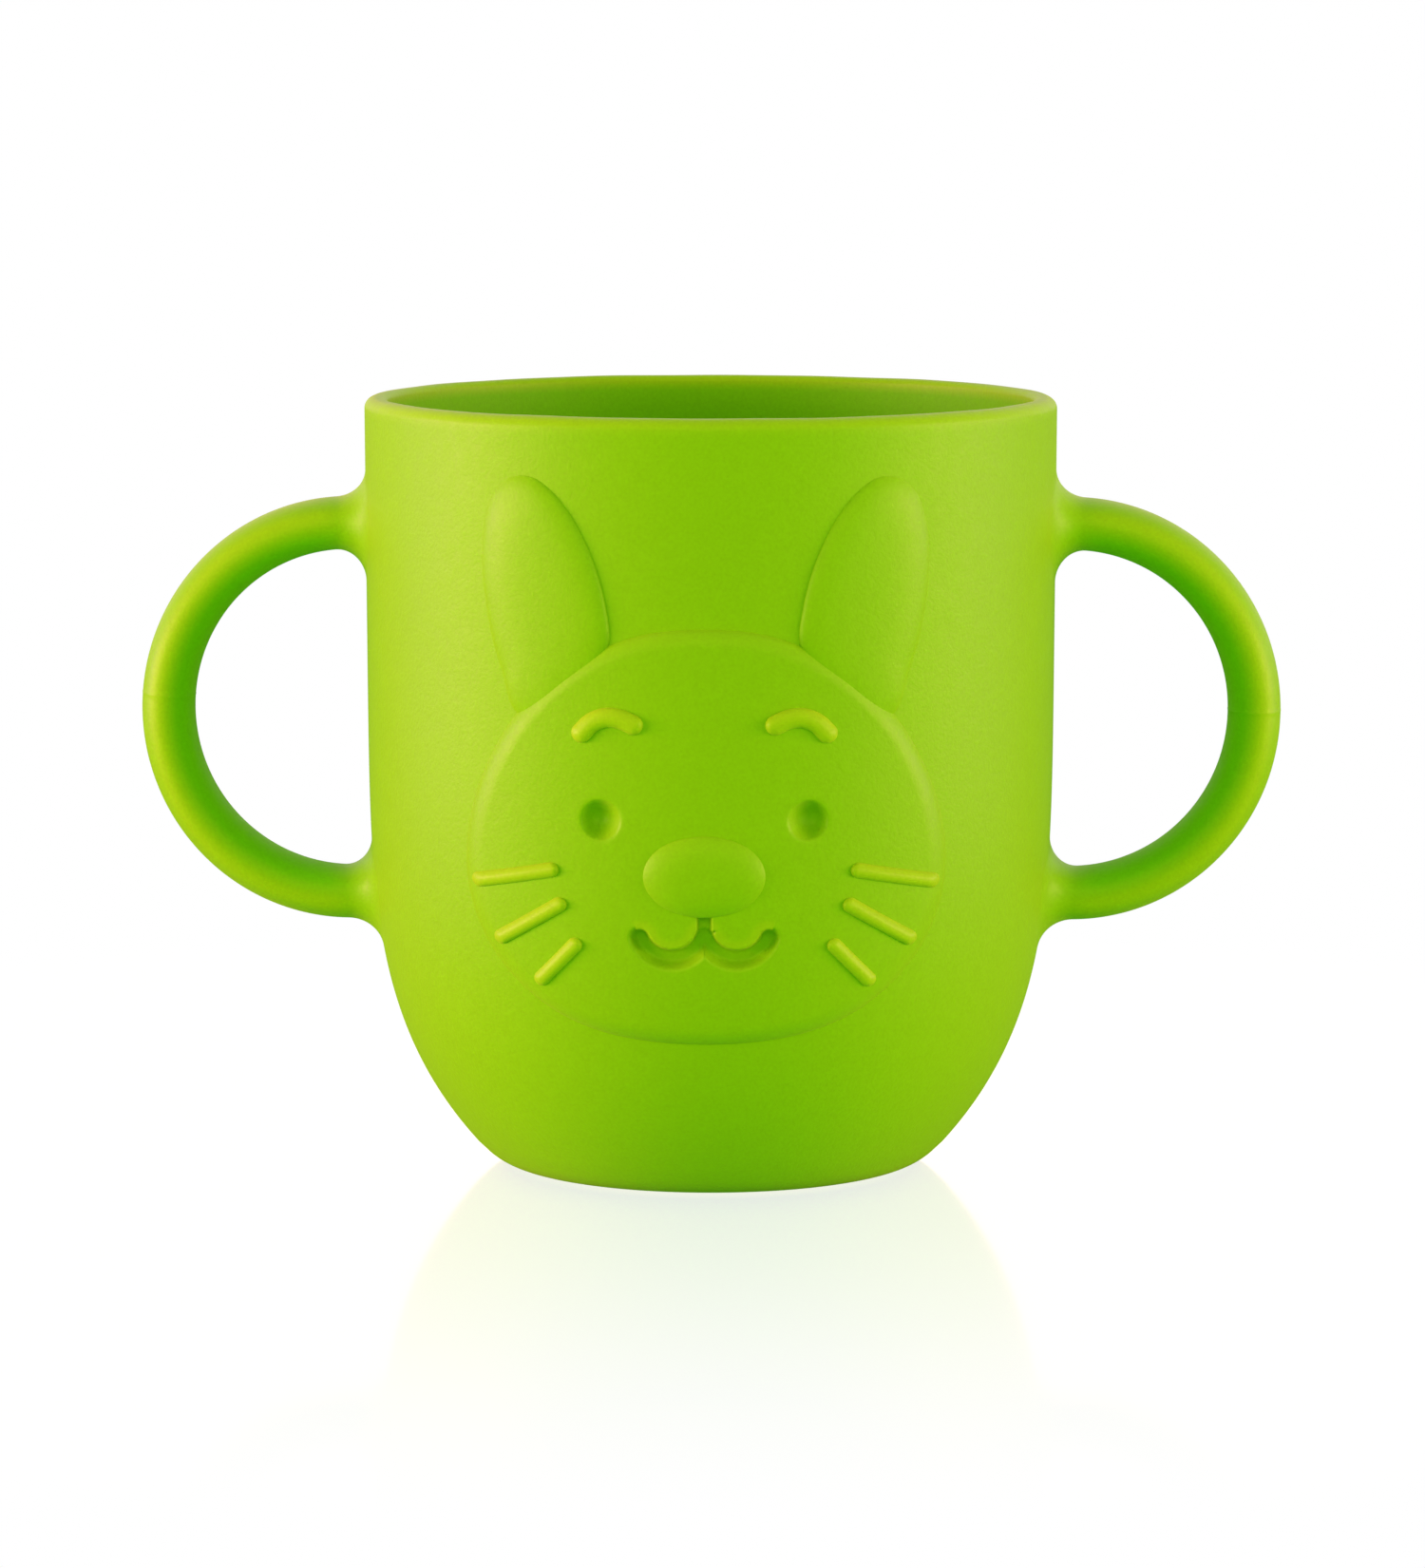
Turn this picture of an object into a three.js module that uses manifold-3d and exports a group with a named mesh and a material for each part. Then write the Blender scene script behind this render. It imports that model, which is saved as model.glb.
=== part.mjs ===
// Open training cup: one silicone moulding with two ring handles and a raised rabbit face.
// Millimetres, +Z up, the cup stands on Z = 0 and the face looks along -Y.
import * as THREE from "three";
import { mergeVertices } from "three/addons/utils/BufferGeometryUtils.js";
import Module from "manifold-3d";

const wasm = await Module();
wasm.setup();

// ---- driving dimensions ----
const CUP_H = 85.3; // height of the rim above the table
const WALL_R = 37.65; // outer radius the straight wall starts from
const WALL_DRAFT = 0.5; // how much wider the wall is at the rim
const BOWL_H = 60; // height over which the bowl rounds in
const BOWL_IN = 14.2; // how far the bowl comes in at the foot
const BOWL_POWER = 4.4; // how quickly it rounds
const FOOT_R = 20.5; // radius of the flat foot
const FOOT_FILLET = 6.8; // radius between foot and bowl
const FOOT_SWEEP = 0.82; // angle of that fillet, radians
const WALL_T = 2.5; // wall thickness
const FLOOR_T = 3.8; // thickness of the floor
const FLOOR_ROUND = 5.2; // rounding where the floor meets the bowl inside
const LIP_Z = 81.3; // where the lip starts
const LIP_T = 2.4; // lip thickness
const LIP_ROUND = 1.1; // edge rounding of the lip
const BASE_Z = 13; // where the base meets the wall
const TURNS = 48; // facets round the cup

const RING_X = 40; // centre of each ring handle
const RING_Z = 50.65;
const RING_A = 20.15; // half width and half height of the ring centre line
const RING_B = 20.55;
const GRIP_T = 5.8; // grip thickness in the plane of the ring
const GRIP_W = 10; // grip width front to back
const ROOT_FILLET = 3.4; // blend of the grip into the wall

const GAP = 0.15; // parting gap between neighbouring zones
const SINK = 0.8; // how deep a raised zone starts before it is cut back
const HEAD_H = 1.25; // height of the raised head
const EAR_H = 0.9; // height of the raised ears
const MARK_H = 0.9; // how far eyebrows and whiskers stand off the head
const HEAD = { z: 39.5, half: 25.4, up: 23.7, down: 20.3 };
const NOSE = { z: 37.1, half: 6.5, tall: 4.4, high: 1.5 };
const EYE = { x: 11.1, z: 43, half: 1.9, tall: 2, deep: 0.85 };
const LIP_CUSP_Z = 30.6; // where the philtrum meets the mouth

// ---- the body of revolution ----
function bowlRadius(z) {
  const straight = WALL_R + (WALL_DRAFT * z) / CUP_H;
  return straight - BOWL_IN * Math.max(0, 1 - z / BOWL_H) ** BOWL_POWER;
}

const filletTop = FOOT_FILLET * (1 - Math.cos(FOOT_SWEEP));

function wallRadius(z) {
  if (z >= filletTop) return bowlRadius(z);
  const turn = Math.acos(1 - z / FOOT_FILLET);
  return FOOT_R + FOOT_FILLET * Math.sin(turn);
}

function steps(from, to, count) {
  return Array.from({ length: count + 1 }, (_, i) => from + ((to - from) * i) / count);
}

function outerLine(from, to, count) {
  return steps(from, to, count).map((z) => [wallRadius(z), z]);
}

function innerLine(from, to, count) {
  return steps(from, to, count).map((z) => {
    const slope = (wallRadius(z + 0.1) - wallRadius(z - 0.1)) / 0.2;
    return [wallRadius(z) - WALL_T * Math.hypot(1, slope), z];
  });
}

function arc(cx, cz, r, from, to, count) {
  return steps(from, to, count).map((t) => [cx + r * Math.cos(t), cz + r * Math.sin(t)]);
}

function lathe(profile) {
  const points = profile.map(([r, z]) => new THREE.Vector2(Math.max(r, 0), z));
  return new THREE.LatheGeometry(points, TURNS).rotateX(Math.PI / 2);
}

function toManifold(geometry) {
  const bare = geometry.clone();
  bare.deleteAttribute("normal");
  bare.deleteAttribute("uv");
  const welded = mergeVertices(bare, 1e-5);
  const mesh = new wasm.Mesh({
    numProp: 3,
    vertProperties: Float32Array.from(welded.attributes.position.array),
    triVerts: Uint32Array.from(welded.index.array),
  });
  const solid = new wasm.Manifold(mesh);
  if (solid.volume() > 0) return solid;
  for (let i = 0; i < mesh.triVerts.length; i += 3) {
    const keep = mesh.triVerts[i];
    mesh.triVerts[i] = mesh.triVerts[i + 1];
    mesh.triVerts[i + 1] = keep;
  }
  return new wasm.Manifold(mesh);
}

function toGeometry(solid) {
  const mesh = solid.getMesh();
  const geometry = new THREE.BufferGeometry();
  geometry.setAttribute("position", new THREE.BufferAttribute(mesh.vertProperties, 3));
  geometry.setIndex(new THREE.BufferAttribute(mesh.triVerts, 1));
  const faceted = geometry.toNonIndexed();
  faceted.computeVertexNormals();
  return faceted;
}

// ---- zones of revolution: base, wall and lip ----
function cupBase() {
  const inner = innerLine(FLOOR_T + FLOOR_ROUND / 2, BASE_Z, 6).reverse();
  const [cornerR, cornerZ] = inner[inner.length - 1];
  const corner = steps(Math.PI / 8, Math.PI / 2, 5).map((turn) => [
    cornerR - FLOOR_ROUND * (1 - Math.cos(turn)),
    cornerZ - (FLOOR_ROUND / 2) * Math.sin(turn),
  ]);
  return lathe([
    [0, 0],
    ...outerLine(0, filletTop, 6),
    ...outerLine(filletTop, BASE_Z, 8).slice(1),
    ...inner,
    ...corner,
    [0, FLOOR_T],
  ]);
}

function cupWall() {
  const outer = outerLine(BASE_Z, LIP_Z, 14);
  const inner = innerLine(BASE_Z, LIP_Z, 10).reverse();
  return lathe([...outer, ...inner, outer[0]]);
}

function rimLip() {
  const rOut = wallRadius(CUP_H);
  const rIn = rOut - LIP_T;
  const seatIn = innerLine(LIP_Z, LIP_Z, 1)[0][0];
  const topZ = CUP_H - LIP_ROUND;
  return lathe([
    [wallRadius(LIP_Z), LIP_Z],
    ...arc(rOut - LIP_ROUND, topZ, LIP_ROUND, 0, Math.PI / 2, 5),
    ...arc(rIn + LIP_ROUND, topZ, LIP_ROUND, Math.PI / 2, Math.PI, 5),
    [seatIn, LIP_Z],
    [wallRadius(LIP_Z), LIP_Z],
  ]);
}

// ---- closed skins laid on the wall ----
function onWall(x, z, lift) {
  const r = wallRadius(z) + lift;
  return [x, -Math.sqrt(r * r - x * x), z];
}

function closedGrid(rows) {
  // rows of equal length, each row a closed loop, first and last rows are single points
  const position = rows.flat(2);
  const starts = [];
  rows.reduce((at, row) => (starts.push(at), at + row.length), 0);
  const index = [];
  for (let i = 0; i + 1 < rows.length; i++) {
    const low = rows[i].length;
    const high = rows[i + 1].length;
    for (let k = 0; k < Math.max(low, high); k++) {
      const a = starts[i] + (k % low);
      const b = starts[i] + ((k + 1) % low);
      const c = starts[i + 1] + (k % high);
      const d = starts[i + 1] + ((k + 1) % high);
      if (low > 1) index.push(a, b, d);
      if (high > 1) index.push(a, d, c);
    }
  }
  const geometry = new THREE.BufferGeometry();
  geometry.setAttribute("position", new THREE.Float32BufferAttribute(position, 3));
  geometry.setIndex(index);
  return geometry;
}

function cupCore(grow) {
  const side = outerLine(1, CUP_H, 36).map(([r, z]) => [r + grow, z]);
  return toManifold(lathe([[0, 1], ...side, [0, CUP_H]]));
}

// a raised pad: outline(t) gives x and z, the skin rises from base to base + height
function pad({ centre, outline, points, base, height, edge, under }) {
  const loop = (scale, lift) => steps(0, 1, points).slice(0, -1).map((t) => {
    const [x, z] = outline(t);
    return onWall(centre[0] + (x - centre[0]) * scale, centre[1] + (z - centre[1]) * scale, lift);
  });
  const rows = [[onWall(centre[0], centre[1], base + height)]];
  for (const s of [0.35, 0.7]) rows.push(loop(s * (1 - edge), base + height));
  for (const t of steps(0, 1, 4)) {
    const turn = (t * Math.PI) / 2;
    const lift = base + height * (0.12 + 0.88 * Math.cos(turn));
    rows.push(loop(1 - edge * (1 - Math.sin(turn)), lift));
  }
  for (const s of [1, 0.7, 0.35]) rows.push(loop(s, under));
  rows.push([onWall(centre[0], centre[1], under)]);
  return closedGrid(rows);
}

// a closed skin along path(t) with rounded ends: lift(u, round) is its height over the wall,
// u being the turn round its section
function strip({ path, half, blunt, count, around, lift }) {
  const rows = [];
  for (const t of steps(0, 1, count)) {
    const [x, z] = path(t);
    const round = Math.sqrt(1 - Math.abs(2 * t - 1) ** blunt);
    if (round < 1e-6) {
      rows.push([onWall(x, z, lift(0, 0))]);
      continue;
    }
    const [x0, z0] = path(t - 1e-3);
    const [x1, z1] = path(t + 1e-3);
    const length = Math.hypot(x1 - x0, z1 - z0);
    rows.push(steps(0, 2 * Math.PI, around).slice(0, -1).map((turn) => {
      const across = (half * round * Math.cos(turn)) / length;
      return onWall(x + (z1 - z0) * across, z - (x1 - x0) * across, lift(turn, round));
    }));
  }
  return toManifold(closedGrid(rows));
}

// a raised half-round bar on the head
function bar(path, half, height) {
  const lift = (turn, round) => {
    const up = Math.sin(turn);
    return up > 1e-6 ? HEAD_H + height * round * up : HEAD_H - SINK;
  };
  return onHead(strip({ path, half, blunt: 9, count: 10, around: 8, lift }));
}

// a round-ended channel to be cut into the head
function channel(path, half, depth) {
  const lift = (turn, round) => HEAD_H + depth * round * Math.sin(turn);
  return strip({ path, half, blunt: 24, count: 28, around: 10, lift });
}

// a smooth line through points of the face
function through(points, closed = false) {
  const corners = points.map(([x, z]) => new THREE.Vector3(x, z, 0));
  const curve = new THREE.CatmullRomCurve3(corners, closed, "centripetal");
  return (t) => {
    const p = curve.getPoint(Math.min(Math.max(t, 0), 1));
    return [p.x, p.y];
  };
}

function prism(outline, points, grow) {
  // solid column along Y over an outline pushed outward by grow
  const flat = steps(0, 1, points).slice(0, -1).map((t) => {
    const [x, z] = outline(t);
    const size = Math.hypot(x, z - HEAD.z);
    const scale = (size + grow) / size;
    return new THREE.Vector2(x * scale, HEAD.z + (z - HEAD.z) * scale);
  });
  const shape = new THREE.Shape(flat);
  const block = new THREE.ExtrudeGeometry(shape, { depth: 60, bevelEnabled: false });
  return block.rotateX(Math.PI / 2);
}

// ---- the face ----
function headOutline(t) {
  const turn = 2 * Math.PI * t;
  const rise = Math.sin(turn) > 0 ? HEAD.up : HEAD.down;
  return [HEAD.half * Math.cos(turn), HEAD.z + rise * Math.sin(turn)];
}

function earOutline(side) {
  // a leaf from its root on the head up the inner flank, over the tip and down the outer flank
  return through([[14.4, 55], [10.4, 60], [10.4, 65.6], [12.6, 72], [16.2, 77.6], [19.6, 79.5],
    [22.6, 76.6], [23.5, 70], [22.6, 62.5], [20.6, 55.5], [18.4, 52]].map(
    ([x, z]) => [side * x, z],
  ), true);
}

function dimple(x, z, a, c, depth) {
  const [px, py, pz] = onWall(x, z, HEAD_H);
  const ball = new THREE.SphereGeometry(1, 16, 10).scale(a, depth, c);
  return toManifold(ball.rotateZ(Math.asin(px / wallRadius(z))).translate(px, py, pz));
}

function headSkin(grow) {
  return toManifold(pad({
    centre: [0, HEAD.z], outline: headOutline, points: 48,
    base: grow, height: HEAD_H, edge: 0.06, under: -SINK,
  }));
}

function head() {
  const blank = headSkin(0).subtract(cupCore(GAP));
  const cheek = [[1.5, 28.5], [3.9, 27.6], [6.5, 28.6], [7.4, 30.3]];
  const mirrored = cheek.map(([x, z]) => [-x, z]).reverse();
  const cutters = [
    dimple(-EYE.x, EYE.z, EYE.half, EYE.tall, EYE.deep),
    dimple(EYE.x, EYE.z, EYE.half, EYE.tall, EYE.deep),
    channel(through([...mirrored, [0, LIP_CUSP_Z], ...cheek]), 0.95, 0.8),
    channel(through([[0, LIP_CUSP_Z], [0, 33]]), 0.6, 0.7),
  ];
  return cutters.reduce((solid, cutter) => solid.subtract(cutter), blank);
}

function ear(side) {
  const leaf = toManifold(pad({
    centre: [side * 17, 66], outline: earOutline(side), points: 33,
    base: 0, height: EAR_H, edge: 0.16, under: -SINK,
  }));
  return leaf.subtract(cupCore(GAP)).subtract(toManifold(prism(headOutline, 96, GAP)));
}

// a mark is cut back from the head that it stands on
function onHead(mark) {
  return mark.subtract(headSkin(GAP));
}

function nose() {
  const oval = (t) => {
    const turn = 2 * Math.PI * t;
    return [NOSE.half * Math.cos(turn), NOSE.z + NOSE.tall * Math.sin(turn)];
  };
  return onHead(toManifold(pad({
    centre: [0, NOSE.z], outline: oval, points: 24,
    base: HEAD_H, height: NOSE.high, edge: 0.55, under: HEAD_H - SINK,
  })));
}

function eyebrow(side) {
  const arch = through([[13, 52.1], [11.9, 53.2], [10.4, 53.8], [8.9, 53.7], [7.5, 53.1]].map(
    ([x, z]) => [side * x, z],
  ));
  return bar(arch, 1, MARK_H);
}

function whisker(side, [x0, z0], [x1, z1]) {
  return bar((t) => [side * (x0 + (x1 - x0) * t), z0 + (z1 - z0) * t], 0.85, MARK_H);
}

// ---- the ring handles ----
function blend(distance) {
  const d = Math.min(Math.max(distance, 0), ROOT_FILLET);
  return ROOT_FILLET - Math.sqrt(ROOT_FILLET ** 2 - (ROOT_FILLET - d) ** 2);
}

function handle(side) {
  const reach = 1.78; // half sweep of the ring, it ends inside the wall
  const around = 18;
  const rows = [];
  const middle = (t) => [RING_X + RING_A * Math.cos(t), RING_Z + RING_B * Math.sin(t)];
  rows.push([[side * middle(-reach)[0], 0, middle(-reach)[1]]]);
  for (const s of steps(-1, 1, 40)) {
    const t = reach * Math.sign(s) * Math.abs(s) ** 0.75;
    const [cx, cz] = middle(t);
    const out = [Math.cos(t) / RING_A, Math.sin(t) / RING_B];
    const length = Math.hypot(...out);
    rows.push(steps(0, 2 * Math.PI, around).slice(0, -1).map((turn) => {
      const [c, w] = [Math.cos(turn), Math.sin(turn)];
      const r = (Math.abs(c) ** 2.6 + Math.abs(w) ** 2.6) ** (-1 / 2.6);
      const place = (grow) => {
        const u = (GRIP_T / 2 + grow) * r * c;
        return [cx + (u * out[0]) / length, (GRIP_W / 2 + grow) * r * w, cz + (u * out[1]) / length];
      };
      const near = place(0);
      const grow = blend(Math.hypot(near[0], near[1]) - wallRadius(near[2]));
      const [x, y, z] = place(grow);
      return [side * x, y, z];
    }));
  }
  rows.push([[side * middle(reach)[0], 0, middle(reach)[1]]]);
  const parts = toManifold(closedGrid(rows)).subtract(cupCore(GAP)).decompose();
  return parts.sort((a, b) => b.volume() - a.volume())[0];
}

// ---- assembly ----
const group = new THREE.Group();
group.name = "training_cup";

function add(name, shape, color) {
  const geometry = toGeometry(shape.getMesh ? shape : toManifold(shape));
  const material = new THREE.MeshStandardMaterial({ color, roughness: 0.6 });
  const mesh = new THREE.Mesh(geometry, material);
  mesh.name = name;
  group.add(mesh);
}

const LIME = 0x84b80a;
const LIME_LIGHT = 0x9cc91e;

add("cup_base", cupBase(), LIME);
add("cup_wall", cupWall(), LIME);
add("rim_lip", rimLip(), LIME_LIGHT);
add("head_relief", head(), LIME);
add("nose", nose(), LIME_LIGHT);
for (const [word, side] of [["left", -1], ["right", 1]]) {
  add(`handle_${word}`, handle(side), LIME);
  add(`ear_${word}`, ear(side), LIME);
  add(`eyebrow_${word}`, eyebrow(side), LIME_LIGHT);
  add(`whisker_${word}_upper`, whisker(side, [16.2, 37.3], [24.2, 35.6]), LIME_LIGHT);
  add(`whisker_${word}_middle`, whisker(side, [15.4, 33.6], [21.7, 29.6]), LIME_LIGHT);
  add(`whisker_${word}_lower`, whisker(side, [13.7, 29.4], [17.3, 25.4]), LIME_LIGHT);
}

export default group;
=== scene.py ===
"""Looks of an open silicone training cup with two ring handles and a raised rabbit face.

The cup is one moulding. Its bowl, wall and lip are one turned skin; the handles, the head, the ears
and the marks of the face are skins of their own whose edges run out flush on the surface below.
Lengths are worked out in millimetres and scaled to metres when a mesh is finished.
"""

import bisect
import math

import bmesh
import bpy
from mathutils import Matrix, Vector


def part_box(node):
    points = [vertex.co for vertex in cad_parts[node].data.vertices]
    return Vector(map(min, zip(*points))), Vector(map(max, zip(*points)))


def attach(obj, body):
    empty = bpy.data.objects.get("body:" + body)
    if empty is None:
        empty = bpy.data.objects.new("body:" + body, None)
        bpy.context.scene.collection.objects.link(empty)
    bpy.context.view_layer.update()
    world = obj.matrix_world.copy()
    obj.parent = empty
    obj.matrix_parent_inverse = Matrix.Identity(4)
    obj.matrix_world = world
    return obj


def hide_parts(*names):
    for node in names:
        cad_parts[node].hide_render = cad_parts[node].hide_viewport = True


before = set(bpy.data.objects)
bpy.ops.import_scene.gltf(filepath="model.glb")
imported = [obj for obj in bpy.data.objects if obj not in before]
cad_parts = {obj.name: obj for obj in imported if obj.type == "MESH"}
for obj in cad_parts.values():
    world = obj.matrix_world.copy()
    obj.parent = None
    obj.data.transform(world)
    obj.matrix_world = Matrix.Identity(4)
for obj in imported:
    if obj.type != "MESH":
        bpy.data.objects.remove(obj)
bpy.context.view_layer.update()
MM = 0.001


def high_corner(node):
    """The highest corner of a node's box in millimetres."""
    return Vector(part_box(node)[1]) / MM


# ---- sizes, from the frame where the frame has them ----
RIM_HIGH = high_corner("rim_lip")
RING_HIGH = high_corner("handle_right")

CUP_H = RIM_HIGH.z
WALL_T = 2.5
WALL_DRAFT = 0.5
WALL_R = RIM_HIGH.x - WALL_DRAFT
BOWL_H = 60.0
BOWL_IN = 14.2
BOWL_POWER = 4.4
FOOT_R = 20.5
FOOT_FILLET = 6.8
FOOT_SWEEP = 0.82
FLOOR_T = 3.8
FLOOR_ROUND = 5.2
LIP_ROUND = 1.25
LIP_ROUND_IN = 0.7

GRIP_T = 5.8
GRIP_W = 9.4
GRIP_SQUARE = 2.3
RING_X = 40.0
RING_Z = 50.65
RING_A = RING_HIGH.x - RING_X - GRIP_T / 2
RING_B = 20.55
ROOT_FILLET = 3.4
SEAM_HALF = 0.004
SEAM_RISE = 0.025
SEAM_TURN = {-1: 0.08, 1: 0.0}
GRIP_AROUND = 72
GRIP_ALONG = 120
ROOT_STEPS = 26
SKIRT_WIDE = 0.9
SKIRT_SINK = 0.12
SKIRT_EDGE = 0.4

# the lip's waviness: depth, share of it that varies, and size, waves per turn and start of each part
LIP_DIP = 0.05
LIP_VARIES = 0.4
LIP_WAVES = ((1.0, 5, 1), (0.8, 11, 2), (0.6, 19, 0))

HEAD_RISE = 1.05
EAR_RISE = 1.0
SKIN_BACK = 0.7

# how far the masks go: painted light, a paler colour for light through the silicone, and painted
# shade, a deeper colour for light off other silicone
LIP_LIGHT = 0.5
GRIP_LIGHT = 0.75
CHEEK_LIGHT = 0.5
BAR_LIGHT = 0.9
WELL_SHADE = 0.7

# in metres: the floor's depth under the foot, below what length a ray passes it, and half its width
FLOOR_GAP = 0.00005
CONTACT = 0.0004
FLOOR_SIZE = 12.0

FOOT_FILLET_Z = FOOT_FILLET * (1 - math.cos(FOOT_SWEEP))


# ---- small helpers ----
def clamp(value, low=0.0, high=1.0):
    return max(low, min(high, value))


def ease(low, high, value):
    """0 below low, 1 above high, with no kink in between."""
    t = clamp((value - low) / (high - low))
    return t * t * t * (t * (6 * t - 15) + 10)


def span(low, high, count):
    return [low + (high - low) * i / count for i in range(count + 1)]


def side_word(side):
    return "left" if side < 0 else "right"


def bowl_radius(z):
    """Outer radius of the cup above its foot's rounding."""
    straight = WALL_R + WALL_DRAFT * z / CUP_H
    return straight - BOWL_IN * max(0.0, 1 - z / BOWL_H) ** BOWL_POWER


def wall_radius(z):
    """Outer radius of the cup at a height."""
    if z >= FOOT_FILLET_Z:
        return bowl_radius(z)
    turn = math.acos(clamp(1 - z / FOOT_FILLET))
    return FOOT_R + FOOT_FILLET * math.sin(turn)


def inner_radius(z):
    """Radius of the cup's inside, an even wall away from the outside."""
    slope = (bowl_radius(z + 0.1) - bowl_radius(z - 0.1)) / 0.2
    return bowl_radius(z) - WALL_T * math.hypot(1, slope)


def on_wall(x, z, lift):
    """The point of the front that is at x and z, lift millimetres off the wall."""
    r = wall_radius(z) + lift
    return Vector((x, -math.sqrt(max(r * r - x * x, 0.0)), z))


# ---- turning meshes into pieces ----
def finish_piece(bm, name, nodes, material, painted_light=None, inner=None):
    """Scale to metres, shade smooth and hand the piece to the frame.

    painted_light(point) in millimetres says how much painted light goes there, 0 to 1: a paler
    colour for light that shows through the silicone; and inner(point) how much painted shade goes
    there, 0 to 1: a deeper colour for light that has already come off other silicone.
    """
    for mask, amount in (("painted_light", painted_light), ("inner", inner)):
        layer = bm.verts.layers.float.new(mask)
        if amount is not None:
            for vert in bm.verts:
                vert[layer] = amount(vert.co)
    bmesh.ops.scale(bm, vec=(MM, MM, MM), verts=bm.verts)
    for face in bm.faces:
        face.smooth = True
    mesh = bpy.data.meshes.new(name)
    bm.to_mesh(mesh)
    bm.free()
    mesh.materials.append(material)
    piece = bpy.data.objects.new(name, mesh)
    bpy.context.collection.objects.link(piece)
    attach(piece, "root")
    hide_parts(*nodes)


def chain(bm, points):
    """A run of vertices and edges through points."""
    verts = [bm.verts.new(p) for p in points]
    edges = [bm.edges.new(pair) for pair in zip(verts, verts[1:])]
    return verts + edges


def turned(profile, steps):
    """A full turn of a profile of radius and height about the upright axis."""
    bm = bmesh.new()
    line = chain(bm, [(r, 0, z) for r, z in profile])
    bmesh.ops.spin(bm, geom=line, cent=(0, 0, 0), axis=(0, 0, 1), angle=2 * math.pi,
                   steps=steps, use_merge=True)
    bmesh.ops.remove_doubles(bm, verts=bm.verts, dist=1e-4)
    bmesh.ops.recalc_face_normals(bm, faces=bm.faces)
    return bm


def skin(columns, rows, place, under, crowd):
    """A closed skin: a grid laid on the front by place(p, q) and closed behind by under(p, q).

    p and q run over the unit disc, so the skin has a round outline and no pole. crowd above 0
    draws the grid's lines together towards the middle.
    """
    bm = bmesh.new()
    bmesh.ops.create_grid(bm, x_segments=columns, y_segments=rows, size=1.0)
    spots = {}
    for vert in bm.verts:
        u, v = (c * (1 - crowd + crowd * c * c) for c in vert.co[:2])
        p, q = u * math.sqrt(1 - v * v / 2), v * math.sqrt(1 - u * u / 2)
        vert.co = place(p, q)
        if vert.is_boundary:
            spots[vert] = (p, q)
    ring = [e for e in bm.edges if e.is_boundary]
    for scale in (1.0, 0.94, 0.8, 0.6, 0.4, 0.2):
        made = bmesh.ops.extrude_edge_only(bm, edges=ring)["geom"]
        ring = [e for e in made if isinstance(e, bmesh.types.BMEdge) and e.is_boundary]
        old = {tuple(vert.co): spot for vert, spot in spots.items()}
        spots = {}
        for vert in made:
            if isinstance(vert, bmesh.types.BMVert):
                spots[vert] = old[tuple(vert.co)]
        for vert, (p, q) in spots.items():
            vert.co = under(p * scale, q * scale)
    bmesh.ops.pointmerge(bm, verts=list(spots), merge_co=under(0.0, 0.0))
    bmesh.ops.recalc_face_normals(bm, faces=bm.faces)
    return bm


# ---- the cup itself ----
def cup_profile():
    """Radius and height along the cup's section, from under the foot, over the lip, to the floor."""
    foot = [(r, 0.0) for r in (0.0, 6.0, 12.0, 17.0, FOOT_R - 1.5, FOOT_R)]
    fillet = [(FOOT_R + FOOT_FILLET * math.sin(t), FOOT_FILLET * (1 - math.cos(t)))
              for t in span(0.0, FOOT_SWEEP, 12)[1:]]
    shoulder_z = CUP_H - LIP_ROUND
    outside = [(bowl_radius(z), z) for z in span(FOOT_FILLET_Z, shoulder_z, 110)[1:]]
    out_r = bowl_radius(shoulder_z)
    lip = [(out_r - LIP_ROUND * (1 - math.cos(t)), shoulder_z + LIP_ROUND * math.sin(t))
           for t in span(0.0, math.pi / 2, 10)[1:]]
    in_r, in_z = inner_radius(CUP_H), CUP_H - LIP_ROUND_IN
    lip += [(in_r + LIP_ROUND_IN * (1 - math.sin(t)), in_z + LIP_ROUND_IN * math.cos(t))
            for t in span(0.0, math.pi / 2, 7)]
    floor_edge = FLOOR_T + FLOOR_ROUND / 2
    inside = [(inner_radius(z), z) for z in span(in_z - 1.0, floor_edge, 90)]
    edge_r, edge_z = inside[-1]
    bowl = [(edge_r - FLOOR_ROUND * (1 - math.cos(t)), edge_z - FLOOR_ROUND / 2 * math.sin(t))
            for t in span(math.pi / 16, math.pi / 2, 9)]
    floor = [(r, FLOOR_T) for r in (17.0, 12.0, 6.0, 0.0)]
    return foot + fillet + outside + lip + inside + bowl + floor


def make_cup(material):
    bm = turned(cup_profile(), 240)
    for vert in bm.verts:
        x, y, z = vert.co
        r = math.hypot(x, y)
        if y < 0 and r > wall_radius(clamp(z, 0.0, CUP_H)) - 0.1:
            deep = pocket(x, z)
            vert.co = (x * (r - deep) / r, y * (r - deep) / r, z)
        turn = math.atan2(y, x)
        wave = sum(size * math.sin(count * turn + start) for size, count, start in LIP_WAVES)
        vert.co.z -= LIP_DIP * (1 + LIP_VARIES * wave) * ease(CUP_H - 4, CUP_H, z)
    lip_z = CUP_H - LIP_ROUND

    # painted light: the top of the lip is drawn paler, where it catches light from above and light
    # shows through its rounded edge
    def lip_light(point):
        return LIP_LIGHT * ease(lip_z - 0.6, lip_z + 0.8, point.z)

    # painted shade: the inside of the cup is drawn in the deeper Shaded colour, fading out near the
    # lip, where less light reaches
    def well_shade(point):
        depth = wall_radius(clamp(point.z, 0.0, CUP_H)) - math.hypot(point.x, point.y)
        low = ease(CUP_H - 0.6, CUP_H - 1.4, point.z) if point.z > CUP_H - 1.5 else 1.0
        inside = depth > WALL_T - 0.6 and point.z > FLOOR_T - 0.5
        return WELL_SHADE * low if inside else 0.0

    finish_piece(bm, "cup_body", ("cup_base", "cup_wall", "rim_lip"), material, lip_light,
                 well_shade)


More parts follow.
